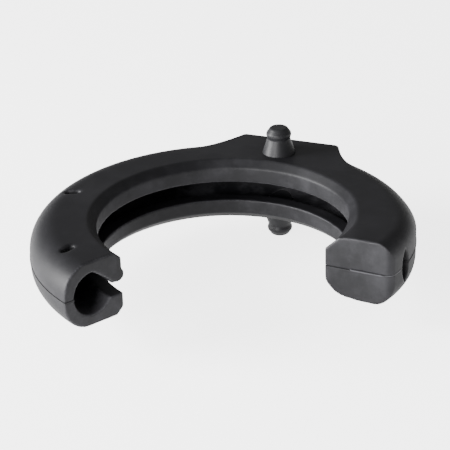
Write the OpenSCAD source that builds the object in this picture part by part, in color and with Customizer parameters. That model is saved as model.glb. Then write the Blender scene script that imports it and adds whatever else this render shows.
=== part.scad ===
// Coil spring insulator
//
// A rubber C ring that clips over the end coil of a suspension or machine spring and
// keeps the wire off its seat. The wire lies in a round channel that opens inward
// through a narrow throat. One end of the channel is open, the other is a blind pocket
// that stops the cut end of the wire. A flat pad on the outside keeps the ring from
// turning, and a barbed stud on each face snaps into a hole in the spring seat, so that
// one part serves both hands.
//
// The body is two half shells with a thin bonding strip between them at mid height. The
// strip stands a little proud, as a raised line round the outside.
//
// Frame: the origin is the centre of the coil, at mid height. +Z is the coil's axis and
// +Y points at the pad. Angles are counted from +X, anticlockwise from above.

/* [Coil] */
// Mean diameter of the spring coil that the ring fits
coil_d = 102; // [84:0.5:140]
// Diameter of the spring wire
wire_d = 14; // [10:0.1:18]
// How much smaller the channel is than the wire, so that the rubber grips
wire_grip = 0.2; // [0:0.05:0.6]

/* [Section] */
// Wall between the channel and the outside
outer_wall = 3.4; // [2.4:0.1:6]
// Wall between the channel and the upper or lower face
face_wall = 3.8; // [3:0.1:7]
// Radial depth of the throat, from the inner band to the channel
lip_depth = 4.1; // [3:0.1:7]
// Radius of the rounded outer shoulders
shoulder_r = 9; // [4:0.5:12]
// Radial width of the bevel on the inner edges
bevel_w = 2.6; // [1:0.1:4]
// Height of the bevel on the inner edges
bevel_h = 2.5; // [1:0.1:4]

/* [Throat] */
// Height of the upper lip's underside above mid height
upper_lip_z = 3.2; // [3:0.1:5]
// Angle over which the upper lip is hooked, next to the open end
hook_span = 14; // [6:1:40]
// Height of the hook's underside above mid height
hook_z = 0.9; // [0.8:0.1:1.5]
// How far the hook stands proud of the inner band
hook_proud = 0.8; // [0:0.1:1.5]
// Depth below mid height of the lower lip's inner edge
lower_lip_z = 3.6; // [3.4:0.1:5]
// Rise of the lower lip from its inner edge to the channel
lip_rise = 0.3; // [0:0.1:1]

/* [Ends] */
// Angle of the open end
open_end_angle = 241.6; // [200:0.2:260]
// Angle where the closed arm starts to curl inward
curl_angle = 37; // [25:1:60]
// Distance from the coil's centre to the centre that the closed arm curls about
curl_offset = 12; // [0:0.5:16]
// Angle where the throat runs out, about the curl's centre
throat_end_angle = 25; // [10:1:35]
// Direction of the closed end's flat face
end_face_angle = -4; // [-12:0.5:4]
// Distance of that face past the line through the coil's centre
end_face_drop = 2.3; // [0:0.1:6]
// Thickness of the wall that stops the wire at the closed end
end_wall = 6; // [4.5:0.1:9]
// Radius of the upright outer corner at the closed end
end_corner_r = 2.2; // [1:0.1:3]

/* [Pad] */
// Distance of the pad's flat face beyond the channel's outer wall
pad_out = 1.9; // [1:0.1:6]
// Width of the pad's flat face
pad_w = 34.4; // [26:0.2:50]
// Angle at which the pad's sides flare towards the ring
pad_flare = 24; // [10:1:40]
// Radius of the pad's upright corners
pad_corner_r = 1.2; // [0.4:0.1:2]
// Radius of the hollow where each side runs into the ring
pad_foot_r = 5; // [2:0.5:8]

/* [Studs] */
// Diameter of a stud where it leaves the face
stud_base_d = 11.3; // [9:0.1:14]
// Diameter at the neck, under the barb
stud_neck_d = 7.4; // [5.5:0.1:8]
// Diameter across the barb
stud_barb_d = 8.2; // [6.5:0.1:9]
// Diameter of the flat tip
stud_tip_d = 6; // [4:0.1:7]
// Height of the neck above the face
stud_neck_h = 5.1; // [3:0.1:8]
// Height of the widest part of the barb above the neck
stud_barb_h = 1.5; // [0.6:0.1:3]
// Height of the tip above the barb
stud_tip_h = 2.45; // [1:0.05:4]
// Diameter of the shank that passes through the shell
stud_shank_d = 6.4; // [5:0.1:7]
// Diameter of the flange that holds the stud from inside the channel
stud_flange_d = 8.8; // [7.6:0.1:10]
// Thickness of the flange at its middle
stud_flange_t = 1.4; // [1:0.1:2]
// Gap round the shank and the flange
stud_gap = 0.1; // [0.05:0.05:0.3]

/* [Openings] */
// Angle of the first vent through the upper face
vent_angle_1 = 181; // [170:1:200]
// Angle of the second vent through the upper face
vent_angle_2 = 230; // [205:1:236]
// Width of a vent
vent_w = 2.2; // [1:0.1:3.5]
// Radial length of a vent
vent_len = 5.8; // [3:0.1:8]
// Distance of a vent's middle outside the channel's centre line
vent_out = 2.2; // [-1:0.1:4]
// Angle of the window through the outer wall, near the closed end
window_angle = 3; // [2:0.5:12]
// Width of the window
window_w = 4.4; // [2:0.1:6]
// Height of the window
window_h = 10.8; // [6:0.1:12]

/* [Joining] */
// Thickness of the bonding strip between the shells
seam_t = 0.4; // [0.2:0.05:0.8]
// How far the strip's edge stands proud
seam_proud = 0.15; // [0:0.05:0.3]
// Diameter of the dowels that line up the two shells
dowel_d = 3; // [2:0.1:3.6]
// Length of a dowel
dowel_len = 12; // [8:0.5:15]
// Distance of each pad dowel from the pad's corner
dowel_inset = 3.7; // [3:0.1:6]
// Distance of the end dowel inside the channel's centre line
end_dowel_inset = 4; // [0:0.5:6]

/* [Hidden] */
$fn = 96;

// Section, in its own plane: x is the distance from the coil's axis, y is the height
coil_r = coil_d / 2;
channel_r = (wire_d - wire_grip) / 2;
inner_r = coil_r - channel_r - lip_depth;
outer_r = coil_r + channel_r + outer_wall;
half_h = channel_r + face_wall;
// The shoulder never takes the whole height, so an upright band is left at mid height
upright_band = 1;
round_r = min(shoulder_r, half_h - upright_band, outer_wall + channel_r);
// The hook slopes out of the band, and the foot of its nose is chamfered
hook_slope_h = 1;
hook_chamfer = 0.7;
hook_flat_w = 2.8;
// The throat's cut ends well inside the channel
throat_to_r = coil_r - channel_r * 0.6;
inside_lips_r = 0.9 * inner_r;

// Closed arm
curl_centre = curl_offset * [cos(curl_angle), sin(curl_angle)];
// The closed arm is moulded by an insert, which leaves it a hair fuller than the ring
insert_step = 0.03;
insert_lap = 0.5;
// The sweep runs past the face, which then cuts it
curl_run_out = 80;
past = 2 * outer_r;

// The same centre in the frame of the closed end's face, and from it the centre of the
// rounded corner, which touches both the face and the outer wall
curl_in_face = curl_offset * [cos(curl_angle - end_face_angle), sin(curl_angle - end_face_angle)];
corner_y = end_corner_r - end_face_drop;
corner_mid = [
    curl_in_face.x + sqrt(pow(outer_r - curl_offset - end_corner_r, 2)
                          - pow(corner_y - curl_in_face.y, 2)),
    corner_y
];
corner_dir = (corner_mid - curl_in_face) / norm(corner_mid - curl_in_face);

// Pad
pad_y = outer_r + pad_out;
pad_corner = [pad_w / 2, pad_y];
side_dir = [sin(pad_flare), -cos(pad_flare)];
side_out = [cos(pad_flare), sin(pad_flare)];
// Centre of the hollow that touches both the side and the ring
foot_start = pad_corner + pad_foot_r * side_out;
foot_reach = foot_start * side_dir;
foot_t = -foot_reach - sqrt(pow(foot_reach, 2) - foot_start * foot_start
                            + pow(outer_r + pad_foot_r, 2));
foot_centre = foot_start + foot_t * side_dir;
foot_on_side = pad_corner + foot_t * side_dir;
foot_on_ring = foot_centre * outer_r / (outer_r + pad_foot_r);
corner_cut = pad_corner_r / tan((90 + pad_flare) / 2);

// Holes from outside start in the open channel
hole_start_z = channel_r / 2;
// The curl brings the channel's middle inward where the window is
window_start_r = coil_r - curl_offset / 3;

// Studs
stud_at = [0, coil_r];
flange_top = channel_r + stud_flange_t;

// Dowels, each in the middle of the solid rubber that it sits in
dowel_x = pad_w / 2 - dowel_inset;
dowel_y = (pad_y + sqrt(pow(coil_r + channel_r, 2) - pow(dowel_x, 2))) / 2;
end_dowel_at = [coil_r - end_dowel_inset, -end_face_drop + end_wall / 2];

// ---- helpers ----

// Sweeps a section about the coil's axis, between two angles
module along_ring(from, to) {
    rotate([0, 0, from])
        rotate_extrude(angle = to - from)
            children();
}

// Sweeps a section about the curl's centre, between two angles
module along_curl(from, to) {
    translate(curl_centre)
        rotate([0, 0, from])
            rotate_extrude(angle = to - from)
                translate([-curl_offset, 0])
                    children();
}

// Everything behind a plane that lies parallel to the closed end's face
module behind_face(depth) {
    rotate([0, 0, end_face_angle])
        translate([0, depth - end_face_drop, -past])
            cube([past, past, 2 * past]);
}

// Everything in front of that face
module beyond_face(proud) {
    rotate([0, 0, end_face_angle])
        translate([0, -end_face_drop - proud - past, -past])
            cube([past, past, 2 * past]);
}

// ---- section ----

// Half of the section above the bonding strip, with neither throat nor channel. It
// starts at a given inner radius, and can be grown by a small amount all round.
module half_block(from_r, grow = 0) {
    difference() {
        translate([from_r - grow, seam_t / 2])
            square([outer_r - from_r + 2 * grow, half_h + grow - seam_t / 2]);
        translate([outer_r - round_r, half_h - round_r])
            difference() {
                square(round_r + 1);
                circle(r = round_r + grow);
            }
        polygon([
            [from_r - 1, half_h + 1],
            [inner_r + bevel_w - grow, half_h + 1],
            [inner_r + bevel_w - grow, half_h],
            [inner_r - grow, half_h - bevel_h],
            [inner_r - grow, upper_lip_z],
            [inner_r - hook_proud, upper_lip_z - hook_slope_h],
            [from_r - 1, upper_lip_z - hook_slope_h]
        ]);
    }
}

// Half of the throat, below a hooked lip or a plain one of a given height and rise. The
// lips can be grown by a small amount.
module throat(lip, grow = 0) {
    lip_shape = lip == "hooked"
        ? [
            [inner_r - hook_proud, hook_z + hook_chamfer],
            [inner_r - hook_proud + hook_chamfer, hook_z],
            [inner_r + hook_flat_w, hook_z],
            [throat_to_r, (upper_lip_z + hook_z) / 2]
        ]
        : lip == "flat"
        ? [[inner_r, upper_lip_z], [throat_to_r, upper_lip_z]]
        : [[inner_r, lower_lip_z], [throat_to_r, lower_lip_z - lip_rise]];
    polygon(concat(
        [[inside_lips_r, -1], [inside_lips_r, lip_shape[0].y - grow]],
        [for (point = lip_shape) point - [0, grow]],
        [[throat_to_r, -1]]
    ));
}

// Half of the section where the throat is open
module open_section(lip) {
    difference() {
        half_block(lip == "hooked" ? inner_r - hook_proud : inner_r);
        throat(lip);
        channel();
    }
}

module channel() {
    translate([coil_r, 0])
        circle(r = channel_r);
}

// ---- plan ----

// The pad's outline, down to the channel's centre line
module pad_plan(grow = 0) {
    up = [0, grow];
    out = grow * side_out;
    difference() {
        union() {
            polygon([
                [-pad_corner.x + corner_cut, pad_y] + up,
                [pad_corner.x - corner_cut, pad_y] + up,
                pad_corner + corner_cut * side_dir + out,
                foot_on_side + out,
                foot_centre,
                foot_on_ring,
                [0, coil_r],
                [-foot_on_ring.x, foot_on_ring.y],
                [-foot_centre.x, foot_centre.y],
                [-foot_on_side.x - out.x, foot_on_side.y + out.y],
                [-pad_corner.x - corner_cut * side_dir.x - out.x,
                 pad_corner.y + corner_cut * side_dir.y + out.y]
            ]);
            for (hand = [-1, 1])
                translate([hand * (pad_corner.x - corner_cut), pad_y - pad_corner_r])
                    circle(r = pad_corner_r + grow);
        }
        for (hand = [-1, 1])
            translate([hand * foot_centre.x, foot_centre.y])
                circle(r = pad_foot_r - grow);
        circle(r = coil_r);
    }
}

// ---- holes ----

// A slot with round ends, through the upper face into the channel
module vent(angle) {
    rotate([0, 0, angle])
        translate([coil_r + vent_out, 0, hole_start_z]) {
            straight = vent_len - vent_w;
            translate([-straight / 2, -vent_w / 2, 0])
                cube([straight, vent_w, half_h]);
            for (end = [-1, 1])
                translate([end * straight / 2, 0, 0])
                    cylinder(h = half_h, d = vent_w);
        }
}

// An upright slot with round ends, through the outer wall into the channel
module window() {
    straight = window_h - window_w;
    rotate([0, 0, window_angle])
        translate([window_start_r, 0, 0])
            rotate([0, 90, 0]) {
                translate([-straight / 2, -window_w / 2, 0])
                    cube([straight, window_w, outer_r]);
                for (end = [-1, 1])
                    translate([end * straight / 2, 0, 0])
                        cylinder(h = outer_r, d = window_w);
            }
}

// The hole that a stud's shank and flange sit in
module stud_hole() {
    translate([stud_at.x, stud_at.y, 0]) {
        translate([0, 0, hole_start_z])
            cylinder(h = flange_top - hole_start_z, d = stud_flange_d + 2 * stud_gap);
        cylinder(h = half_h + 1, d = stud_shank_d + 2 * stud_gap);
    }
}

// One dowel, which is also the hole that it is pressed into
module dowel(at) {
    translate([at.x, at.y, -dowel_len / 2])
        cylinder(h = dowel_len, d = dowel_d);
}

module all_dowels() {
    dowel([-dowel_x, dowel_y]);
    dowel([dowel_x, dowel_y]);
    rotate([0, 0, end_face_angle])
        dowel(end_dowel_at);
}

// ---- body ----

// The upright corner that is rounded off at the closed end
module end_corner() {
    rotate([0, 0, end_face_angle])
        translate([0, 0, -half_h - 1])
            linear_extrude(height = 2 * half_h + 2)
                difference() {
                    polygon([
                        corner_mid,
                        [corner_mid.x, corner_mid.y - end_corner_r - 1],
                        corner_mid + [end_corner_r + 2, -end_corner_r - 1],
                        corner_mid + (end_corner_r + 2) * corner_dir
                    ]);
                    translate(corner_mid)
                        circle(r = end_corner_r);
                }
}

// The channel in the closed arm, with a flat floor for the wire's end
module pocket() {
    intersection() {
        along_curl(curl_angle - curl_run_out, curl_angle + 2 * insert_lap)
            translate([coil_r, 0])
                circle(r = channel_r - insert_step);
        behind_face(end_wall);
    }
}

// Half of the closed arm, which the throat runs part of the way into
module closed_arm(lip) {
    difference() {
        along_curl(curl_angle - curl_run_out, curl_angle + insert_lap)
            half_block(inner_r, insert_step);
        along_curl(throat_end_angle, curl_angle + 2 * insert_lap)
            throat(lip, insert_step);
        pocket();
        beyond_face(0);
    }
}

// The ring from the closed arm to the open end. The upper lip is hooked at the mouth only.
module open_ring(lip) {
    if (lip == "flat")
        difference() {
            along_ring(curl_angle, open_end_angle)
                open_section("hooked");
            along_ring(curl_angle - insert_lap, open_end_angle - hook_span)
                throat(lip);
        }
    else
        along_ring(curl_angle, open_end_angle)
            open_section(lip);
}

// One half shell, as the upper one lies, whatever its lip
module shell(lip) {
    difference() {
        union() {
            open_ring(lip);
            closed_arm(lip);
            difference() {
                translate([0, 0, seam_t / 2])
                    linear_extrude(height = half_h - seam_t / 2)
                        pad_plan();
                along_ring(curl_angle, 180 - curl_angle)
                    channel();
            }
        }
        stud_hole();
        window();
        end_corner();
        all_dowels();
    }
}

// The bonding strip's section, from one radius to another
module seam_band(from_r, to_r, extra = 0) {
    translate([from_r, -seam_t / 2 - extra])
        square([to_r - from_r, seam_t + 2 * extra]);
}

// A stud and the flange that holds it; the flange's underside follows the channel
module stud() {
    neck_z = half_h + stud_neck_h;
    barb_z = neck_z + stud_barb_h;
    difference() {
        translate([stud_at.x, stud_at.y, 0])
            rotate_extrude()
                polygon([
                    [0, hole_start_z],
                    [stud_flange_d / 2, hole_start_z],
                    [stud_flange_d / 2, flange_top],
                    [stud_shank_d / 2, flange_top],
                    [stud_shank_d / 2, half_h],
                    [stud_base_d / 2, half_h],
                    [stud_neck_d / 2, neck_z],
                    [stud_barb_d / 2, barb_z],
                    [stud_tip_d / 2, barb_z + stud_tip_h],
                    [0, barb_z + stud_tip_h]
                ]);
        along_ring(60, 120)
            channel();
    }
}

// ---- pieces ----

module upper_shell() {
    color([0.2, 0.2, 0.21])
        difference() {
            shell("flat");
            vent(vent_angle_1);
            vent(vent_angle_2);
        }
}

module lower_shell() {
    color([0.17, 0.17, 0.18])
        mirror([0, 0, 1])
            shell("plain");
}

module seam_strip() {
    color([0.32, 0.32, 0.34])
        difference() {
            union() {
                along_ring(curl_angle, open_end_angle)
                    difference() {
                        seam_band(coil_r, outer_r + seam_proud);
                        channel();
                    }
                difference() {
                    along_curl(curl_angle - curl_run_out, curl_angle + insert_lap)
                        seam_band(inner_r - seam_proud, outer_r + seam_proud + insert_step);
                    along_curl(throat_end_angle, curl_angle + 2 * insert_lap)
                        seam_band(inside_lips_r, coil_r, seam_t);
                    pocket();
                    beyond_face(seam_proud);
                }
                difference() {
                    translate([0, 0, -seam_t / 2])
                        linear_extrude(height = seam_t)
                            pad_plan(seam_proud);
                    along_ring(curl_angle, 180 - curl_angle)
                        channel();
                    // Trimmed flush on the pad's flat face, which is a seat
                    translate([-pad_w, pad_y, -seam_t])
                        cube([2 * pad_w, pad_foot_r, 2 * seam_t]);
                }
            }
            window();
            end_corner();
            all_dowels();
        }
}

module upper_stud() {
    color([0.24, 0.24, 0.26])
        stud();
}

module lower_stud() {
    color([0.24, 0.24, 0.26])
        mirror([0, 0, 1])
            stud();
}

module pad_dowel_left() {
    color([0.72, 0.73, 0.75])
        dowel([-dowel_x, dowel_y]);
}

module pad_dowel_right() {
    color([0.72, 0.73, 0.75])
        dowel([dowel_x, dowel_y]);
}

module end_dowel() {
    color([0.72, 0.73, 0.75])
        rotate([0, 0, end_face_angle])
            dowel(end_dowel_at);
}

upper_shell();
lower_shell();
seam_strip();
upper_stud();
lower_stud();
pad_dowel_left();
pad_dowel_right();
end_dowel();
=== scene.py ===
# %% [markdown]
# # A coil spring insulator in moulded rubber
#
# The object is an open ring of black rubber that clips over the last coil of a spring.
# Its CAD model is already exact in size, but it has hard edges and a flat finish. This
# lesson builds the moulded skin round it: soft edges, a bonded seam, barbed studs, and
# a rubber that looks handled rather than painted.
#
# Everything is in metres, in the CAD model's own frame, so nothing has to be fitted.

# %% Load the packed CAD model as a fixed frame
from math import cos, radians, sin

import bmesh
import bpy
import numpy as np
from mathutils import Matrix, Vector


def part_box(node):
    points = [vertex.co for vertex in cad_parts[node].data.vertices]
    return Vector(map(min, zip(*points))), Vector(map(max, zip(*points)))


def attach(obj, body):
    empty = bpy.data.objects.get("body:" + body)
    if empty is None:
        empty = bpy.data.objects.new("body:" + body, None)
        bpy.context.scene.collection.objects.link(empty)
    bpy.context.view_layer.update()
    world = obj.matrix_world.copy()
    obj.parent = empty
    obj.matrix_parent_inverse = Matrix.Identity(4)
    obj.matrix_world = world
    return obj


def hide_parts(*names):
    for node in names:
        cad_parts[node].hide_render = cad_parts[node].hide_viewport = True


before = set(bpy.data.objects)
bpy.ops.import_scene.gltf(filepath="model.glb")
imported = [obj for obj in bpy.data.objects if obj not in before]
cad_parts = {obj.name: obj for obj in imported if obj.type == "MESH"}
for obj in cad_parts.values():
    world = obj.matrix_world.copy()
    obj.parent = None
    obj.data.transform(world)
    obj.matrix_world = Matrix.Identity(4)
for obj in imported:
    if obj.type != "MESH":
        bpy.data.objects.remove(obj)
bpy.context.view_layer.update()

print("CAD nodes:", sorted(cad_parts))

# %% [markdown]
# ## The sizes that shape the ring
#
# The ring is one section carried round a circle, and then round a tighter circle where
# the closed arm curls inward. These are its sizes in millimetres, and the few that the
# CAD model can tell are read from it. Sizes of the pad, the lips, the studs and the
# smaller features come later, each beside the step that uses it.

# %% Sizes of the ring, in millimetres
MM = 0.001
COIL_R = 51.0
CHANNEL_R = 6.9
INNER_R = 40.0
OUTER_R = COIL_R + CHANNEL_R + 3.4
HALF_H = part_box("upper_shell")[1].z / MM
PAD_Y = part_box("upper_shell")[1].y / MM

CURL_ANGLE = radians(37.0)
CURL_OFFSET = 12.0
OPEN_END_ANGLE = radians(241.6)
FACE_ANGLE = radians(-4.0)
FACE_DROP = 2.3
END_WALL = 6.0
print(f"Ring: radius {INNER_R:.1f} to {OUTER_R:.1f} mm, {2 * HALF_H:.1f} mm high")

# %% [markdown]
# ## Shapes as distances
#
# A moulded part has no sharp edges: every corner of the mould is rounded, and every
# hollow is filled a little. Bevel and boolean modifiers struggle with that where a
# curved shoulder meets a flat pad. A distance field doesn't: it gives, at each point in
# space, how far that point is outside the rubber. Two shapes are joined with a minimum
# and cut with a maximum, and a *smooth* minimum or maximum rounds the edge between them.
#
# Geometry Nodes can evaluate such a field in a Volume Cube and turn it into a mesh. The
# class below lets the field be written as ordinary sums, each of which adds Math nodes.

# %% A field that is written like a sum
class Field:
    """A number that the node tree works out at every point."""

    def __init__(self, tree, socket):
        self.tree = tree
        self.socket = socket

    def math(self, operation, *others):
        node = self.tree.nodes.new("ShaderNodeMath")
        node.operation = operation
        for slot, value in enumerate((self, *others)):
            if isinstance(value, Field):
                self.tree.links.new(value.socket, node.inputs[slot])
            else:
                node.inputs[slot].default_value = value
        return Field(self.tree, node.outputs[0])

    def __add__(self, other):
        return self.math("ADD", other)

    def __sub__(self, other):
        return self.math("SUBTRACT", other)

    def __mul__(self, other):
        return self.math("MULTIPLY", other)

    def __neg__(self):
        return self.math("MULTIPLY", -1.0)

    def __abs__(self):
        return self.math("ABSOLUTE")

    __radd__ = __add__
    __rmul__ = __mul__

    def __rsub__(self, other):
        return -self + other

    def above(self, level):
        return self.math("GREATER_THAN", level)

    def ramp(self, low, high):
        """0 below low, 1 above high, and a smooth step between."""
        node = self.tree.nodes.new("ShaderNodeMapRange")
        node.interpolation_type = "SMOOTHSTEP"
        self.tree.links.new(self.socket, node.inputs["Value"])
        node.inputs["From Min"].default_value = low
        node.inputs["From Max"].default_value = high
        return Field(self.tree, node.outputs["Result"])


print("A field has", sum(callable(value) for value in vars(Field).values()), "operations")

# %% [markdown]
# With sums in place, joining and cutting are one line each. A plain minimum leaves a
# sharp edge and a smooth one a soft edge, but neither gives an exact radius, so the
# ring's shoulders use `rounded_corner`, which measures to a true quarter circle.

# %% Joining, cutting and rounding
FAR = 100.0


def larger(a, b, soft=0.0):
    """Keeps what is inside both shapes; soft rounds the edge between them."""
    if isinstance(soft, Field) or soft:
        return a.math("SMOOTH_MAX", b, soft)
    return a.math("MAXIMUM", b)


def smaller(a, b, soft=0.0):
    """Joins two shapes; soft fills the corner between them."""
    if isinstance(soft, Field) or soft:
        return a.math("SMOOTH_MIN", b, soft)
    return a.math("MINIMUM", b)


def cut(body, tool, soft=0.0):
    return larger(body, -tool, soft)


def length(a, b):
    return (a * a + b * b).math("SQRT")


def mix(a, b, share):
    """a where share is 0, b where share is 1."""
    return share * (b - a) + a


def rounded_corner(a, b, radius):
    """Inside both a and b, with the edge between them rounded to a true radius."""
    along_a = a + radius
    along_b = b + radius
    outside = length(larger(along_a, 0.0), larger(along_b, 0.0))
    return outside + smaller(larger(along_a, along_b), 0.0) - radius


def only_where(mask, distance):
    """The distance where mask is 1; elsewhere a value so deep that it cuts nothing."""
    return mix(distance * 0.0 - FAR, distance, mask)


print(f"Where a mask is 0, a shape counts as {FAR:.0f} mm away")

# %% [markdown]
# ## The ring's plan
#
# `across` is the distance from the axis that the section turns about: the coil's own
# axis for most of the ring, and the curl's axis in the closed arm. With it the whole
# ring is one flat drawing of the section. `into_curl` says how far the closed arm has
# come from the place where the curl starts.

# %% Where a point lies along and across the ring
def turned(x, y, angle):
    """Plan coordinates in a frame that is turned by an angle."""
    return x * cos(angle) + y * sin(angle), y * cos(angle) - x * sin(angle)


def ring_coordinates(x, y):
    ahead, left = turned(x, y, CURL_ANGLE)
    in_curl = (-left).above(0.0) * ahead.above(0.0)
    about_coil = length(x, y)
    about_curl = length(ahead - CURL_OFFSET, left) + CURL_OFFSET
    across = mix(about_coil, about_curl, in_curl)
    return across, -left, in_curl


print(f"The closed arm curls about an axis {CURL_OFFSET:.0f} mm from the coil's")

# %% [markdown]
# ## The outside and the pad
#
# The ring's outside is a wide round shoulder above and below. On the real part a flat
# pad grows out of its back, with flared flanks that run into the shoulder in a soft
# foot. Joining the two solids with a smooth minimum gives that foot everywhere at once,
# and a clamp at the top face and the pad's face keeps both of them flat.

# %% The rounded outside
SHOULDER_R = 9.0
ARM_UPPER_R = 5.8
ARM_LOWER_R = 6.6
PAD_W = 34.4
PAD_INNER_Y = 44.0
PAD_FLARE = radians(24.0)
PAD_EDGE_R = 0.4
PAD_CORNER = 1.6
PAD_FOOT = 5.0


def outer_shape(x, y, across, height, arm, upper):
    """The ring's rounded outside, with the flat pad run into it."""
    arm_shoulder = ARM_UPPER_R if upper else ARM_LOWER_R
    shoulder = mix(arm * 0.0 + SHOULDER_R, arm_shoulder, arm)
    ring = rounded_corner(across - OUTER_R, height - HALF_H, shoulder)
    side = (abs(x) - PAD_W / 2) * cos(PAD_FLARE) + (y - PAD_Y) * sin(PAD_FLARE)
    plan = larger(larger(side, y - PAD_Y, PAD_CORNER), PAD_INNER_Y - y)
    pad = rounded_corner(plan, height - HALF_H, PAD_EDGE_R)
    both = smaller(ring, pad, PAD_FOOT)
    return larger(larger(both, height - HALF_H, PAD_EDGE_R), y - PAD_Y, PAD_EDGE_R)


print(f"Pad: {PAD_W} mm wide; shoulders: {SHOULDER_R}, {ARM_UPPER_R} and {ARM_LOWER_R} mm")

# %% [markdown]
# ## The section
#
# Towards the spring's axis the section has three faces: an upright band, a steep bevel
# above it, and a shallow crown that takes the bevel out at the closed arm's tip. Each
# is a plane in the drawing of the section, given by its outward direction. The planes
# meet crisply on the open ring, and softly in the lower half of the closed tip.

# %% The inner faces
BEVEL = (-0.693, 0.721)
BEVEL_TURN_AT_TIP = (-0.066, -0.070)
BEVEL_Z = 8.2
BEVEL_DROP_AT_TIP = 3.6
CROWN = (-0.293, 0.956)
CROWN_R = 48.5
CROWN_CLEARANCE = 3.0
CRISP = 0.3
TIP_SOFT_UPPER = 0.3
TIP_SOFT_LOWER = 3.1


def section(x, y, across, height, arm, end, upper):
    """The section without its channel. arm is 1 in the closed arm, end is 1 at its tip."""
    outer = outer_shape(x, y, across, height, arm, upper)
    lean = end * BEVEL_TURN_AT_TIP[0] + BEVEL[0]
    rise = end * BEVEL_TURN_AT_TIP[1] + BEVEL[1]
    bevel = lean * (across - INNER_R) + rise * (height - BEVEL_Z + end * BEVEL_DROP_AT_TIP)
    crown = CROWN[0] * (across - CROWN_R) + CROWN[1] * (height - HALF_H)
    crown = crown - CROWN_CLEARANCE * (1.0 - end)
    soft = end * (TIP_SOFT_UPPER if upper else TIP_SOFT_LOWER) + CRISP
    inner = larger(larger(bevel, INNER_R - across, soft), crown, soft)
    return larger(inner, outer, soft)


print(f"The bevel meets the band {BEVEL_Z} mm above the seam")

# %% [markdown]
# ## The channel and the throat
#
# The wire of the spring lies in a round channel, and gets there through a throat
# between two lips. Both stop short of the closed end, which is solid. At the open end
# the upper lip is hooked so that the wire snaps under it; further in it is plain and
# flat. A mask that fades from 0 to 1 changes one lip into the other, which is easier to
# keep clean than two meshes that have to be stitched.

# %% The hollow and the hook
THROAT_END_ANGLE = radians(25.0)
THROAT_BACK_R = 47.0
UPPER_LIP_Z = 3.15
LOWER_LIP_Z = 3.5
HOOK_Z = 0.7
HOOK_BACK_R = 41.6
CEILING = (-0.623, 0.783)
CEILING_R = 42.8
CEILING_CLEARANCE = 8.0
NOSE_R = 2.15
NOSE_AT = (41.4, 2.75)
NOSE_CLEARANCE = 4.0


def throat_and_channel(x, y, across, height, hook, upper):
    """The hollow in the section. hook is 1 where the upper lip is hooked."""
    curl_x, curl_y = CURL_OFFSET * cos(CURL_ANGLE), CURL_OFFSET * sin(CURL_ANGLE)
    past_throat = -turned(x - curl_x, y - curl_y, THROAT_END_ANGLE)[1]
    past_throat = only_where(x.above(0.0), past_throat)
    past_pocket = END_WALL - FACE_DROP - turned(x, y, FACE_ANGLE)[1]
    past_pocket = only_where(x.above(0.0), past_pocket)

    channel = length(across - COIL_R, height) - CHANNEL_R
    lip = UPPER_LIP_Z if upper else LOWER_LIP_Z
    throat = larger(height - lip, across - THROAT_BACK_R)
    if upper:
        ceiling = (height - HOOK_Z) * CEILING[1] + (across - CEILING_R) * CEILING[0]
        channel = larger(channel, ceiling - CEILING_CLEARANCE * (1.0 - hook), 0.8)
        beyond_hook = larger(height - lip, across - HOOK_BACK_R, 0.4)
        under_hook = larger(height - HOOK_Z, across - THROAT_BACK_R)
        throat = mix(throat, smaller(beyond_hook, under_hook), hook)
    channel = larger(channel, past_pocket, 1.2)
    throat = larger(throat, past_throat, 1.5)
    return smaller(channel, throat, 0.5)


def hook_nose(across, height, hook):
    """The round nose that the hooked lip ends in."""
    nose = length(across - NOSE_AT[0], height - NOSE_AT[1]) - NOSE_R
    return nose + NOSE_CLEARANCE * (1.0 - hook)


print(f"Throat: {UPPER_LIP_Z + LOWER_LIP_Z:.2f} mm wide, {HOOK_Z + LOWER_LIP_Z:.2f} mm under the hook")

# %% [markdown]
# ## Vents and a window
#
# Two short slots run from the upper face into the channel, and let air and water out
# when the wire is pushed home. They lie a little askew. A slot with round ends is the
# distance to a short line, less half the width. The opening through the closed arm's
# outer wall is a lens: the part that two circles share. Cutting them with a soft edge
# gives each the lit rim that moulded slots have.

# %% Slots and the lens
HOLE_FLOOR_Z = 4.0
VENT_ANGLES = (radians(181.0), radians(228.0))
VENT_R = 52.4
VENT_W = 2.2
VENT_STRAIGHT = 2.6
VENT_TILT = radians(24.0)
WINDOW_ANGLE = radians(3.0)
WINDOW_INNER_R = 47.0
LENS_R = 7.45
LENS_OFFSET = 5.0


def vent(x, y, height, angle):
    """A slot with round ends, askew, from the upper face down into the channel."""
    out, aside = turned(x, y, angle)
    along, across = turned(out - VENT_R, aside, VENT_TILT)
    straight = larger(abs(along) - VENT_STRAIGHT / 2, 0.0)
    return larger(length(straight, across) - VENT_W / 2, HOLE_FLOOR_Z - height)


def window(x, y, height):
    """A lens-shaped slot through the outer wall, near the closed end."""
    out, aside = turned(x, y, WINDOW_ANGLE)
    one, other = length(aside - LENS_OFFSET, height), length(aside + LENS_OFFSET, height)
    return larger(larger(one, other) - LENS_R, WINDOW_INNER_R - out)


print(f"{len(VENT_ANGLES)} vents {VENT_STRAIGHT + VENT_W:.1f} mm long; "
      f"window {2 * (LENS_R - LENS_OFFSET):.1f} mm wide")

# %% [markdown]
# ## Holes for the studs and dowels
#
# Each stud is a piece of its own, so the shell has a hole for its shank, wider below
# for the flange that holds it. Steel dowels keep the two halves in line: two in the pad
# and one in the closed end. They come from the CAD model as they are, and the holes are
# cut at their size.

# %% Hidden holes
SHANK_HOLE_R = 3.3
FLANGE_R = 4.4
FLANGE_TOP_Z = 8.3
PAD_DOWEL_AT = (13.5, 59.76)
END_DOWEL_INSET = 4.0
DOWEL_R = 1.5
DOWEL_TOP_Z = 6.0


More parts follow.
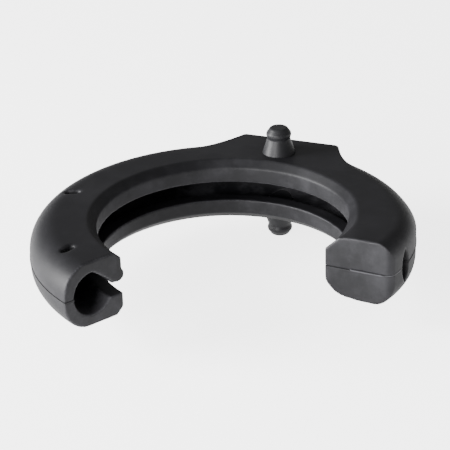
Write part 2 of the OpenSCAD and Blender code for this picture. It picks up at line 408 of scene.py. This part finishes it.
def stud_hole(x, y, height):
    from_axis = length(x, y - COIL_R)
    flange = larger(from_axis - FLANGE_R, height - FLANGE_TOP_Z)
    return larger(smaller(from_axis - SHANK_HOLE_R, flange), HOLE_FLOOR_Z - height)


def dowel_holes(x, y, height):
    pad = length(abs(x) - PAD_DOWEL_AT[0], y - PAD_DOWEL_AT[1])
    face_x, face_y = turned(x, y, FACE_ANGLE)
    end = length(face_x - (COIL_R - END_DOWEL_INSET), face_y - (END_WALL / 2 - FACE_DROP))
    return larger(smaller(pad, end) - DOWEL_R, height - DOWEL_TOP_Z)


print(f"Flange {2 * FLANGE_R:.1f} mm wide under a {2 * SHANK_HOLE_R:.1f} mm hole")

# %% [markdown]
# ## One half of the ring
#
# Now the pieces of the drawing come together: the section, less its hollow, cut off at
# both ends, less the small holes. The upper half differs from the lower only in its
# hook and its vents, so one function makes both. The closed end has a rounded outer
# corner and a face that leans by a few degrees.

# %% The field of a half
ARM_BLEND = 30.0
TIP_BLEND = (8.0, 34.0)
HOOK_FADE = (-11.5, -8.5)
END_CORNER_R = 2.2
FACE_SOFT = 0.7


def body_field(x, y, height, upper):
    """Distance outside the rubber of one half, as the upper half lies."""
    across, into_curl, in_curl = ring_coordinates(x, y)
    arm = into_curl.ramp(0.0, ARM_BLEND) * x.above(0.0)
    end = into_curl.ramp(*TIP_BLEND) * in_curl
    body = section(x, y, across, height, arm, end, upper)
    open_end = turned(x, y, OPEN_END_ANGLE)[1]
    open_side = (-x).above(0.0) * (-y).above(0.0)
    hook = open_end.ramp(*HOOK_FADE) * open_side if upper else None
    body = cut(body, throat_and_channel(x, y, across, height, hook, upper), 0.4)
    if upper:
        body = smaller(body, hook_nose(across, height, hook), 0.5)

    face = -turned(x, y, FACE_ANGLE)[1] - FACE_DROP
    corner = rounded_corner(across - OUTER_R, face, END_CORNER_R)
    closed_side = x.above(0.0) * (-y).above(-20.0)
    body = larger(body, only_where(x.above(0.0), face), FACE_SOFT)
    body = larger(body, only_where(closed_side, corner))
    body = larger(body, only_where(open_side, open_end), FACE_SOFT)

    body = cut(body, window(x, y, height), 0.8)
    body = cut(body, stud_hole(x, y, height), 0.3)
    body = cut(body, dowel_holes(x, y, height))
    if upper:
        for angle in VENT_ANGLES:
            body = cut(body, vent(x, y, height, angle), 1.5)
    return body


print(f"The hook fades out {-HOOK_FADE[0]:.1f} mm in from the open end")

# %% [markdown]
# ## A stud
#
# The stud locates the ring on its seat. It is a turned shape, so its field needs only
# the distance from its axis and the height: a cone that narrows upwards, a neck, and a
# barb with a steep underside and a blunt nose. Below the face, a shank and a flange
# keep it in its hole, hollowed where the channel passes. A lathe made with Screw would
# do as well, but the field rounds the neck and the nose for nothing.

# %% The field of a stud
STUD_BASE_R = 5.65
STUD_TAPER = 0.34
STUD_CONE_H = 5.6
BARB_START = 4.4
BARB_R = 4.25
BARB_UNDER = (0.94, 0.34)
BARB_UNDER_AT = 6.3
BARB_NOSE = (0.82, 0.57)
BARB_NOSE_AT = 7.1
STUD_TOP = 9.02
SHANK_R = 3.2


def stud_field(x, y, height):
    """A turned stud: a cone, a barb, and the shank and flange below the face."""
    out = length(x, y - COIL_R)
    rise = height - HALF_H
    cone = larger(out - STUD_BASE_R + rise * STUD_TAPER, rise - STUD_CONE_H)
    past = out - BARB_R
    barb = larger(past, past * BARB_UNDER[0] + (BARB_UNDER_AT - rise) * BARB_UNDER[1])
    barb = larger(barb, past * BARB_NOSE[0] + (rise - BARB_NOSE_AT) * BARB_NOSE[1], 0.3)
    barb = larger(larger(barb, rise - STUD_TOP, 0.6), BARB_START - rise)
    above = larger(smaller(cone, barb, 0.25), -rise)
    flange = larger(out - FLANGE_R, height - FLANGE_TOP_Z)
    below = larger(smaller(out - SHANK_R, flange), rise - 1.0)
    below = larger(below, CHANNEL_R - length(y - COIL_R, height))
    return smaller(above, below)


print(f"Stud: {STUD_TOP:.2f} mm high, {2 * STUD_BASE_R:.1f} mm wide at its foot")

# %% [markdown]
# ## From field to mesh
#
# One node tree serves every rubber piece: a Volume Cube samples the field on a grid, a
# Volume to Mesh node puts a surface where it crosses zero, and the tree ends in Realize
# Instances and Set Material. The grid's box and its pitch are named inputs. The volume
# holds depth inside the rubber plus a margin, because a density can't be negative.

# %% The tree that meshes a field
MARGIN = 5.0


def field_tree(name, shape):
    """A geometry node tree that meshes the field which shape(x, y, z) writes."""
    tree = bpy.data.node_groups.new(name, "GeometryNodeTree")
    interface = tree.interface
    interface.new_socket("Geometry", in_out="INPUT", socket_type="NodeSocketGeometry")
    for label in ("Low corner", "High corner"):
        interface.new_socket(label, in_out="INPUT", socket_type="NodeSocketVector")
    for label in ("Steps X", "Steps Y", "Steps Z"):
        interface.new_socket(label, in_out="INPUT", socket_type="NodeSocketInt")
    interface.new_socket("Finish", in_out="INPUT", socket_type="NodeSocketMaterial")
    interface.new_socket("Geometry", in_out="OUTPUT", socket_type="NodeSocketGeometry")

    nodes, links = tree.nodes, tree.links
    given = nodes.new("NodeGroupInput")
    place = nodes.new("GeometryNodeInputPosition")
    axes = nodes.new("ShaderNodeSeparateXYZ")
    links.new(place.outputs[0], axes.inputs[0])
    x, y, z = (Field(tree, socket) * (1 / MM) for socket in axes.outputs)
    density = MARGIN - shape(x, y, z)

    cube = nodes.new("GeometryNodeVolumeCube")
    links.new(density.socket, cube.inputs["Density"])
    links.new(given.outputs["Low corner"], cube.inputs["Min"])
    links.new(given.outputs["High corner"], cube.inputs["Max"])
    for axis in "XYZ":
        links.new(given.outputs["Steps " + axis], cube.inputs["Resolution " + axis])
    surface = nodes.new("GeometryNodeVolumeToMesh")
    surface.inputs["Threshold"].default_value = MARGIN
    surface.inputs["Adaptivity"].default_value = 0.0
    smooth = nodes.new("GeometryNodeSetShadeSmooth")
    realize = nodes.new("GeometryNodeRealizeInstances")
    finish = nodes.new("GeometryNodeSetMaterial")
    result = nodes.new("NodeGroupOutput")
    links.new(cube.outputs[0], surface.inputs[0])
    links.new(surface.outputs[0], smooth.inputs[0])
    links.new(smooth.outputs[0], realize.inputs[0])
    links.new(realize.outputs[0], finish.inputs[0])
    links.new(given.outputs["Finish"], finish.inputs["Material"])
    links.new(finish.outputs[0], result.inputs[0])
    return tree


print("The volume holds the depth in the rubber plus", MARGIN, "mm")

# %% [markdown]
# The tree needs an object to run on. An empty host carries it as a modifier, gets its
# inputs by their identifiers before it is first evaluated, and is thrown away once its
# result is a plain mesh. The only finish left on that mesh is the piece's own: an empty
# slot would leave the caps that are cut later without a material.

# %% Runs a tree and keeps a plain mesh
def mesh_field(name, tree, low, high, pitch, material):
    """Runs a field tree over a box, in millimetres, and returns a plain mesh object."""
    host = bpy.data.objects.new(name + "_host", bpy.data.meshes.new(name + "_host"))
    bpy.context.scene.collection.objects.link(host)
    modifier = host.modifiers.new("field", "NODES")
    modifier.node_group = tree
    steps = [max(4, round((b - a) / p) + 1) for a, b, p in zip(low, high, pitch)]
    values = {
        "Low corner": [c * MM for c in low],
        "High corner": [c * MM for c in high],
        "Steps X": steps[0],
        "Steps Y": steps[1],
        "Steps Z": steps[2],
        "Finish": material,
    }
    for item in tree.interface.items_tree:
        if item.in_out == "INPUT" and item.name in values:
            modifier[item.identifier] = values[item.name]
    view = bpy.context.evaluated_depsgraph_get()
    mesh = bpy.data.meshes.new_from_object(host.evaluated_get(view))
    bpy.data.objects.remove(host)
    mesh.name = name
    mesh.materials.clear()
    mesh.materials.append(material)
    mesh.polygons.foreach_set("material_index", [0] * len(mesh.polygons))
    piece = bpy.data.objects.new(name, mesh)
    bpy.context.scene.collection.objects.link(piece)
    print(name, len(mesh.polygons), "faces")
    return piece


print("Each piece is meshed on its own grid, and keeps its place in its mesh")

# %% [markdown]
# ## Rubber
#
# Black rubber is never one flat black. The mould leaves a fine grain, and a pale bloom comes
# to the surface in patches. The bloom colour is also painted light: it is stronger on
# upright faces and in the channel. Every edge is smoother and painted a little lighter,
# partly as rubbed wear and partly as a painted edge highlight.
# Each of these is a node group, so the shells, the studs and the strip can share them
# with their own values.

# %% Helpers for shader groups
def new_group(name, inputs, outputs):
    """A shader node group with float inputs, given as (name, default), and outputs."""
    tree = bpy.data.node_groups.new(name, "ShaderNodeTree")
    for label, value in inputs:
        socket = tree.interface.new_socket(label, in_out="INPUT", socket_type="NodeSocketFloat")
        socket.default_value = value
    for label in outputs:
        tree.interface.new_socket(label, in_out="OUTPUT", socket_type="NodeSocketFloat")
    return tree, tree.nodes.new("NodeGroupInput"), tree.nodes.new("NodeGroupOutput")


def noise(tree, scale, detail, roughness=0.55):
    """A noise value that is fixed to the object."""
    place = tree.nodes.new("ShaderNodeTexCoord")
    texture = tree.nodes.new("ShaderNodeTexNoise")
    texture.inputs["Detail"].default_value = detail
    texture.inputs["Roughness"].default_value = roughness
    tree.links.new(place.outputs["Object"], texture.inputs["Vector"])
    if isinstance(scale, (int, float)):
        texture.inputs["Scale"].default_value = scale
    else:
        tree.links.new(scale, texture.inputs["Scale"])
    return Field(tree, texture.outputs["Fac"])


def surface_value(tree, name):
    """A value that is stored at each point of the mesh."""
    node = tree.nodes.new("ShaderNodeAttribute")
    node.attribute_name = name
    return Field(tree, node.outputs["Fac"])


print("Groups give out only masks and heights")

# %% [markdown]
# The grain is what the mould's blasted steel leaves: two noises, one fine and one about
# five times coarser, that only move the surface's normal.

# %% Grain
GRAIN_COARSE = 420.0


def grain_group():
    tree, given, out = new_group("rubber_grain", [("Fineness", 2200.0)], ["Height"])
    fine = noise(tree, given.outputs["Fineness"], 3.0)
    coarse = noise(tree, GRAIN_COARSE, 2.0)
    tree.links.new((fine * 0.6 + coarse * 0.4).socket, out.inputs["Height"])
    return tree


GROUPS = {"grain": grain_group()}
print("Group:", GROUPS["grain"].name)

# %% [markdown]
# Bloom is wax and mould powder that has come to the surface in patches. The mask also
# carries painted light: the attribute "side" is near 0 on level faces, 1 on upright ones,
# and more in the channel, so upright faces and the channel are painted paler than the top.

# %% Bloom and painted side light
PATCH_SCALE = 55.0
SMUDGE_SCALE = 190.0


def bloom_and_painted_light_group():
    tree, given, out = new_group("rubber_bloom_and_painted_light", [("Amount", 1.0)], ["Mask"])
    patches = noise(tree, PATCH_SCALE, 5.0, 0.62).ramp(0.42, 0.68)
    smudges = noise(tree, SMUDGE_SCALE, 4.0, 0.6).ramp(0.45, 0.75)
    # Painted light: "side" makes upright faces and the channel take more of the paler colour.
    painted_light_share = surface_value(tree, "side") * 0.75 + 0.25
    mask = (patches * 0.65 + smudges * 0.35) * painted_light_share
    mask = mask * Field(tree, given.outputs["Amount"])
    tree.links.new(mask.socket, out.inputs["Mask"])
    return tree


GROUPS["bloom_with_painted_light"] = bloom_and_painted_light_group()
print("Group:", GROUPS["bloom_with_painted_light"].name)

# %% [markdown]
# Edges are painted paler and smoother, partly as rubbed wear and partly as a painted edge
# highlight, but never evenly, so a noise breaks the line up.

# %% Edge wear and painted edge highlight
WEAR_AND_HIGHLIGHT_SCALE = 260.0


def wear_and_highlight_group():
    tree, given, out = new_group("edge_wear_and_highlight", [("Amount", 1.0)], ["Mask"])
    broken = noise(tree, WEAR_AND_HIGHLIGHT_SCALE, 4.0, 0.6).ramp(0.30, 0.62)
    # Painted highlight: the convex-edge mask paints edges paler, partly as wear.
    mask = surface_value(tree, "edge") * (broken * 0.6 + 0.4)
    mask = mask * Field(tree, given.outputs["Amount"])
    tree.links.new(mask.socket, out.inputs["Mask"])
    return tree


GROUPS["wear_and_highlight"] = wear_and_highlight_group()
print("Group:", GROUPS["wear_and_highlight"].name)

# %% [markdown]
# ## The rubber material
#
# One function places the three groups in a material and gives each its amount. The bloom
# mask, with its painted side and channel light, makes the rubber paler and more matt; the
# wear mask, partly a painted edge highlight, makes it paler and less matt. The grain reaches
# the surface through a Bump node. The shader itself stays in the material, where the sheen
# of rubber is one constant.

# %% Places the groups round one shader
RUBBER_SPECULAR = 0.22
GRAIN_DEPTH = 0.00008


def place_group(tree, key, **values):
    node = tree.nodes.new("ShaderNodeGroup")
    node.node_tree = GROUPS[key]
    for label, value in values.items():
        node.inputs[label].default_value = value
    return node


def mix_colour(tree, mask, first, second):
    """first where the mask is 0, second where it is 1; either may be a socket."""
    node = tree.nodes.new("ShaderNodeMix")
    node.data_type = "RGBA"
    tree.links.new(mask, node.inputs["Factor"])
    for socket, value in ((node.inputs["A"], first), (node.inputs["B"], second)):
        if isinstance(value, tuple):
            socket.default_value = value
        else:
            tree.links.new(value, socket)
    return node.outputs["Result"]


def rubber_material(name, dark, bloomed_and_lit, rubbed_and_highlit, bloom_with_painted_light, wear_and_highlight, roughness):
    material = bpy.data.materials.new(name)
    material.use_nodes = True
    tree = material.node_tree
    shader = tree.nodes["Principled BSDF"]
    shader.inputs["Specular IOR Level"].default_value = RUBBER_SPECULAR
    grain = place_group(tree, "grain")
    patches = place_group(tree, "bloom_with_painted_light", Amount=bloom_with_painted_light)
    edges = place_group(tree, "wear_and_highlight", Amount=wear_and_highlight)
    # Painted light in the colour: the bloom mix paints upright faces and the channel paler, and the
    # wear mix paints a lighter edge that is partly wear and partly a painted highlight.
    colour = mix_colour(tree, patches.outputs["Mask"], dark, bloomed_and_lit)
    colour = mix_colour(tree, edges.outputs["Mask"], colour, rubbed_and_highlit)
    tree.links.new(colour, shader.inputs["Base Color"])
    matte = Field(tree, patches.outputs["Mask"]) * 0.14 + roughness
    matte = matte - Field(tree, edges.outputs["Mask"]) * 0.16
    tree.links.new(matte.socket, shader.inputs["Roughness"])
    bump = tree.nodes.new("ShaderNodeBump")
    bump.inputs["Strength"].default_value = 0.5
    bump.inputs["Distance"].default_value = GRAIN_DEPTH
    tree.links.new(grain.outputs["Height"], bump.inputs["Height"])
    tree.links.new(bump.outputs["Normal"], shader.inputs["Normal"])
    return material


print("A rubber material uses", ", ".join(GROUPS))

# %% [markdown]
# The shells are the blackest and take the most bloom and painted side light. The studs are
# moulded apart, a touch greyer and cleaner. The strip is the adhesive that was squeezed out
# between the halves, so it is glossier than the rubber beside it.

# %% Three rubbers
# The bloomed colour also stands in for painted side and channel light, and the rubbed colour for an
# edge that is partly worn and partly a painted highlight.
DARK = (0.0074, 0.0073, 0.0086, 1.0)
BLOOM_AND_SIDE_LIGHT = (0.0290, 0.0285, 0.0320, 1.0)
RUBBED_AND_HIGHLIGHT = (0.070, 0.069, 0.076, 1.0)
STUD_DARK = (0.013, 0.013, 0.0145, 1.0)
BOND_DARK = (0.007, 0.007, 0.0078, 1.0)
SLIGHT_BLOOM_AND_SIDE_LIGHT = (0.020, 0.020, 0.022, 1.0)

shell_rubber = rubber_material("shell_rubber", DARK, BLOOM_AND_SIDE_LIGHT, RUBBED_AND_HIGHLIGHT, 1.0, 1.0, 0.50)
stud_rubber = rubber_material("stud_rubber", STUD_DARK, SLIGHT_BLOOM_AND_SIDE_LIGHT, RUBBED_AND_HIGHLIGHT, 0.7, 0.8, 0.44)
bond_rubber = rubber_material("bond_rubber", BOND_DARK, SLIGHT_BLOOM_AND_SIDE_LIGHT, RUBBED_AND_HIGHLIGHT, 1.0, 0.7, 0.46)
print("Rubbers:", [rubber.name for rubber in (shell_rubber, stud_rubber, bond_rubber)])

# %% [markdown]
# The dowels sit inside the rubber, but they are still steel: bright, a little brushed.
# The brushing is a noise on the roughness, which is all that a ground pin shows.

# %% Steel for the dowels
dowel_steel = bpy.data.materials.new("dowel_steel")
dowel_steel.use_nodes = True
steel_shader = dowel_steel.node_tree.nodes["Principled BSDF"]
steel_shader.inputs["Base Color"].default_value = (0.56, 0.57, 0.58, 1.0)
steel_shader.inputs["Metallic"].default_value = 1.0
brushed = noise(dowel_steel.node_tree, 900.0, 3.0) * 0.18 + 0.24
dowel_steel.node_tree.links.new(brushed.socket, steel_shader.inputs["Roughness"])
print("Steel:", dowel_steel.name)

# %% [markdown]
# ## A flat cut
#
# The two halves are bonded face to face, and the strip between them is thinner than a
# grid cell. A grid rounds such a shape badly, so each piece is meshed a little past the
# seam and then cut off flat. Bisect opens the mesh at a plane, and a triangle fill over
# the rim closes it again, round the channel as well.

# %% Cuts a piece off flat
def cut_flat(piece, height, keep_above):
    """Cuts a piece off at a height, in millimetres, with a flat, closed cap."""
    shape = bmesh.new()
    shape.from_mesh(piece.data)
    everything = shape.verts[:] + shape.edges[:] + shape.faces[:]
    bmesh.ops.bisect_plane(shape, geom=everything, plane_co=(0, 0, height * MM),
                           plane_no=(0, 0, 1), clear_inner=keep_above,
                           clear_outer=not keep_above)
    rim = [edge for edge in shape.edges if edge.is_boundary]
    bmesh.ops.triangle_fill(shape, edges=rim, use_dissolve=False,
                            normal=(0, 0, -1 if keep_above else 1))
    open_edges = sum(edge.is_boundary for edge in shape.edges)
    bmesh.ops.recalc_face_normals(shape, faces=shape.faces)
    shape.to_mesh(piece.data)
    shape.free()
    print(f"{piece.name}: cut at {height:.2f} mm, {open_edges} open edges")


SEAM_T = 2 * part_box("seam_strip")[1].z / MM
print(f"The strip is {SEAM_T:.2f} mm thick")

# %% [markdown]
# ## The two shells
#
# The upper shell is the half with the hook and the vents, and the lower shell is its
# plain partner, turned over. Cells of under half a millimetre hold the smallest edges
# and keep each shell below 200,000 triangles.

# %% Meshes the shells
PITCH = 0.44
PAST_SEAM = 0.6
WEST, SOUTH = -OUTER_R - 1.0, -55.5
EAST, NORTH = OUTER_R + 1.0, PAD_Y + 1.0
TOP = HALF_H + 0.8


def upper_half(x, y, z):
    return body_field(x, y, z, True)


def lower_half(x, y, z):
    return body_field(x, y, -z, False)


upper_shell = mesh_field("upper_shell_skin", field_tree("upper_half", upper_half),
                         (WEST, SOUTH, -PAST_SEAM), (EAST, NORTH, TOP),
                         (PITCH, PITCH, PITCH), shell_rubber)
cut_flat(upper_shell, SEAM_T / 2, True)
lower_shell = mesh_field("lower_shell_skin", field_tree("lower_half", lower_half),
                         (WEST, SOUTH, -TOP), (EAST, NORTH, PAST_SEAM),
                         (PITCH, PITCH, PITCH), shell_rubber)
cut_flat(lower_shell, -SEAM_T / 2, False)

# %% [markdown]
# ## The seam
#
# The bonding layer shows as a thin line all round. It stands a hair proud of the
# rubber, except on the closed end's face: there it has sunk at the inner side, and was
# squeezed out into a raised flash further out. The strip's plan is the section at the
# seam, grown or shrunk by that amount and carried straight up.

# %% Meshes the strip
SEAM_PROUD = 0.15
SEAM_SUNK = -0.3
FLASH_PROUD = 0.42
FLASH_X = (43.4, 44.0)
FLASH_END_X = (54.0, 55.0)
PAST_FLASH = 0.05
STRIP_PITCH_Z = 0.4
STRIP_REACH = 1.2


def seam(x, y, z):
    """The strip's plan, carried straight up; its edge is sunk and proud on the end."""
    body = body_field(x, y, z * 0.0, False)
    at_end = (-y).above(-0.5) * x.above(0.0)
    flash = mix(x * 0.0 + SEAM_SUNK, FLASH_PROUD, x.ramp(*FLASH_X))
    flash = mix(flash, PAST_FLASH, x.ramp(*FLASH_END_X))
    proud = mix(x * 0.0 + SEAM_PROUD, flash, at_end)
    return larger(body - proud, y - PAD_Y)


seam_line = mesh_field("seam_line", field_tree("seam", seam),
                       (WEST, SOUTH, -STRIP_REACH), (EAST, NORTH, STRIP_REACH),
                       (PITCH, PITCH, STRIP_PITCH_Z), bond_rubber)
cut_flat(seam_line, -SEAM_T / 2, True)
cut_flat(seam_line, SEAM_T / 2, False)

# %% [markdown]
# ## The studs
#
# A stud is small and seen close, so its grid is finer. The lower one is the upper one
# turned over.

# %% Meshes the studs
STUD_PITCH = 0.16
STUD_REACH = 6.4
STUD_LOW_Z, STUD_HIGH_Z = 3.6, 20.2


def upper_stud_shape(x, y, z):
    return stud_field(x, y, z)


def lower_stud_shape(x, y, z):
    return stud_field(x, y, -z)


def mesh_stud(name, shape, low_z, high_z):
    return mesh_field(name, field_tree(shape.__name__, shape),
                      (-STUD_REACH, COIL_R - STUD_REACH, low_z),
                      (STUD_REACH, COIL_R + STUD_REACH, high_z),
                      (STUD_PITCH, STUD_PITCH, STUD_PITCH), stud_rubber)


upper_stud = mesh_stud("upper_stud_skin", upper_stud_shape, STUD_LOW_Z, STUD_HIGH_Z)
lower_stud = mesh_stud("lower_stud_skin", lower_stud_shape, -STUD_HIGH_Z, -STUD_LOW_Z)

# %% [markdown]
# ## Where the rubber is worn, bloomed and painted with light
#
# The wear group, which also paints an edge highlight, needs to know where the edges are, and
# the bloom group, which also paints side light, which way the surface faces. Pointiness would
# do for the first in one renderer only, so both are stored on the mesh. At a convex edge the
# neighbours of a point lie below its tangent plane, and a short sum over the mesh's edges
# measures how far.

# %% How convex each point is
def coordinates(items, name):
    values = np.empty(len(items) * 3)
    items.foreach_get(name, values)
    return values.reshape(-1, 3)


def convexity(mesh, points, normals):
    """The mean drop to a point's neighbours, smoothed once over the mesh."""
    pairs = np.empty(len(mesh.edges) * 2, dtype=np.int64)
    mesh.edges.foreach_get("vertices", pairs)
    a, b = pairs.reshape(-1, 2).T
    step = points[b] - points[a]
    step /= np.maximum(np.linalg.norm(step, axis=1), 1e-9)[:, None]
    count = np.bincount(a, minlength=len(points)) + np.bincount(b, minlength=len(points))
    count = np.maximum(count, 1)

    def gather(at_a, at_b):
        total = np.bincount(a, weights=at_a, minlength=len(points))
        total += np.bincount(b, weights=at_b, minlength=len(points))
        return total / count

    drop = gather(-(normals[a] * step).sum(1), (normals[b] * step).sum(1))
    return 0.5 * drop + 0.5 * gather(drop[b], drop[a])


print("A shell has", len(upper_shell.data.vertices), "points")

# %% [markdown]
# The cut faces at the seam are bonded and can't rub, so wear and painted edge highlight stop
# short of them. On the strip, only the flash is painted paler, as wear and a painted highlight
# on its ridge. The channel is painted palest of all, as painted light in its bloom.

# %% Stores both on a piece
WEAR_AND_HIGHLIGHT_FROM, WEAR_AND_HIGHLIGHT_FULL = 0.09, 0.24
NO_WEAR_NO_HIGHLIGHT_Z = 0.5
CHANNEL_SKIN = 0.3
CHANNEL_PAINTED_LIGHT = 2.6
SOLID_END_Y = 12.0


# The edge mask is partly rubbed wear and partly a painted edge highlight; on the strip it paints the
# flash ridge paler.
def worn_and_highlit_edges(piece, points, normals):
    if piece is seam_line:
        flash = (points[:, 0] > FLASH_X[0] * MM) & (points[:, 1] < -0.5 * MM)
        return flash.astype(float)
    drop = convexity(piece.data, points, normals)
    worn_and_lit = np.clip((drop - WEAR_AND_HIGHLIGHT_FROM) / (WEAR_AND_HIGHLIGHT_FULL - WEAR_AND_HIGHLIGHT_FROM), 0.0, 1.0)
    return worn_and_lit * (np.abs(points[:, 2]) > NO_WEAR_NO_HIGHLIGHT_Z * MM)


# Painted light: upright faces and the channel get more of the paler bloom colour than level faces.
def painted_side_light(points, normals):
    side = 1.0 - np.abs(normals[:, 2])
    across = np.hypot(points[:, 0], points[:, 1]) - COIL_R * MM
    inside = np.hypot(across, points[:, 2]) < (CHANNEL_R + CHANNEL_SKIN) * MM
    hollow = (points[:, 0] < 0.0) | (points[:, 1] > SOLID_END_Y * MM)
    side[inside & hollow] = CHANNEL_PAINTED_LIGHT
    return side


def store(mesh, name, values):
    attribute = mesh.attributes.new(name, "FLOAT", "POINT")
    attribute.data.foreach_set("value", values.astype(np.float32))


for piece in (upper_shell, lower_shell, seam_line, upper_stud, lower_stud):
    points = coordinates(piece.data.vertices, "co")
    normals = coordinates(piece.data.vertices, "normal")
    worn_and_lit = worn_and_highlit_edges(piece, points, normals)
    store(piece.data, "edge", worn_and_lit)
    store(piece.data, "side", painted_side_light(points, normals))
    print(f"{piece.name}: {int((worn_and_lit > 0.5).sum())} worn points of {len(worn_and_lit)}")

# %% [markdown]
# ## Each skin takes its CAD piece's place
#
# Each skin rides on the same body as the CAD node that it stands in for, and the node is
# hidden. The dowels need no skin: the CAD pins are already right, and only take the steel.

# %% Stand-ins and carried-over pieces
for piece, node, slot in (
    (upper_shell, "upper_shell", "shell_rubber"),
    (lower_shell, "lower_shell", "shell_rubber"),
    (seam_line, "seam_strip", "bond_rubber"),
    (upper_stud, "upper_stud", "stud_rubber"),
    (lower_stud, "lower_stud", "stud_rubber"),
):
    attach(piece, "root")
    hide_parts(node)
    print(piece.name, "stands in for", node)
for name in ("pad_dowel_left", "pad_dowel_right", "end_dowel"):
    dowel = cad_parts[name]
    dowel.data.materials.clear()
    dowel.data.materials.append(dowel_steel)
    print(name, "is steel")

# %% [markdown]
# ## Camera
#
# A long lens from a little above, looking into the open side, shows the channel, the
# hook, both studs and the closed end at once. The view is built from three directions
# at right angles: towards the camera, level to the right, and up, with a slight roll.

# %% Places the camera
AZIMUTH = radians(22.5)
ELEVATION = radians(26.0)
ROLL = radians(-1.667)
DISTANCE = 0.5236
AIM_UP, AIM_RIGHT = 0.0055, 0.00025

back = Vector((sin(AZIMUTH) * cos(ELEVATION), -cos(AZIMUTH) * cos(ELEVATION), sin(ELEVATION)))
level = Vector((cos(AZIMUTH), sin(AZIMUTH), 0.0))
upright = back.cross(level)
right = level * cos(ROLL) + upright * sin(ROLL)
up = -level * sin(ROLL) + upright * cos(ROLL)
eye = back * DISTANCE
look = (up * AIM_UP + right * AIM_RIGHT - eye).normalized()
right = (right - look * right.dot(look)).normalized()
up = right.cross(look)

camera_data = bpy.data.cameras.new("camera")
camera_data.lens = 132.1
camera_data.sensor_width = 36.0
camera_data.dof.use_dof = False
camera = bpy.data.objects.new("camera", camera_data)
bpy.context.scene.collection.objects.link(camera)
camera.matrix_world = Matrix((right, up, -look)).transposed().to_4x4()
camera.location = eye
bpy.context.scene.camera = camera
print(f"Camera {DISTANCE * 1000:.0f} mm away, {camera_data.lens} mm lens")

# %% [markdown]
# ## Floor
#
# Black rubber needs a pale ground to be read against. The floor lies under the lower
# stud. It glows a little, and more for the camera than for the object: a Light Path node
# tells the two apart, so the ground looks white without flooding the rubber with light.

# %% A pale floor
FLOOR_HALF = 3.0
FLOOR_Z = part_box("lower_stud")[0].z
GLOW_ON_OBJECT, GLOW_TO_CAMERA = 1.2, 3.4

corners = [(-FLOOR_HALF, -FLOOR_HALF, FLOOR_Z), (FLOOR_HALF, -FLOOR_HALF, FLOOR_Z),
           (FLOOR_HALF, FLOOR_HALF, FLOOR_Z), (-FLOOR_HALF, FLOOR_HALF, FLOOR_Z)]
floor_mesh = bpy.data.meshes.new("floor")
floor_mesh.from_pydata(corners, [], [(0, 1, 2, 3)])
floor = bpy.data.objects.new("floor", floor_mesh)
bpy.context.scene.collection.objects.link(floor)

pale_floor = bpy.data.materials.new("pale_floor")
pale_floor.use_nodes = True
floor_tree = pale_floor.node_tree
floor_shader = floor_tree.nodes["Principled BSDF"]
floor_shader.inputs["Base Color"].default_value = (0.9, 0.9, 0.9, 1.0)
floor_shader.inputs["Roughness"].default_value = 0.9
floor_shader.inputs["Emission Color"].default_value = (1.0, 1.0, 1.0, 1.0)
ray_kind = floor_tree.nodes.new("ShaderNodeLightPath")
glow = floor_tree.nodes.new("ShaderNodeMapRange")
glow.inputs["To Min"].default_value = GLOW_ON_OBJECT
glow.inputs["To Max"].default_value = GLOW_TO_CAMERA
floor_tree.links.new(ray_kind.outputs["Is Camera Ray"], glow.inputs["Value"])
floor_tree.links.new(glow.outputs["Result"], floor_shader.inputs["Emission Strength"])
floor_mesh.materials.append(pale_floor)
print(f"Floor at {FLOOR_Z / MM:.2f} mm")

# %% [markdown]
# ## Light
#
# A dim white world fills the shadows. A large key light stands low on the left, so that
# it grazes the flat top and catches the round shoulder in full, which is what tells the
# two apart on black rubber. A weaker fill in front reaches under the upper lip.

# %% World and lights
WORLD_LIGHT = 0.33

world = bpy.data.worlds.new("studio")
bpy.context.scene.world = world
world.use_nodes = True
world.node_tree.nodes["Background"].inputs["Color"].default_value = (1.0, 1.0, 1.0, 1.0)
world.node_tree.nodes["Background"].inputs["Strength"].default_value = WORLD_LIGHT


def area_light(name, place, size, power):
    """A square light that looks at the middle of the ring."""
    data = bpy.data.lights.new(name, "AREA")
    data.shape = "SQUARE"
    data.size = size
    data.energy = power
    light = bpy.data.objects.new(name, data)
    light.location = place
    light.rotation_euler = (-Vector(place)).to_track_quat("-Z", "Y").to_euler()
    bpy.context.scene.collection.objects.link(light)
    print(f"{name}: {power} W, {Vector(place).length:.2f} m away")


area_light("key", (-0.95, -0.45, 0.30), 0.55, 45)
area_light("fill", (-0.25, -1.1, 0.27), 0.5, 19)

# %% [markdown]
# ## Sizes, before and after
# The skin has to stay in the room that the CAD model takes.

# %% [markdown]
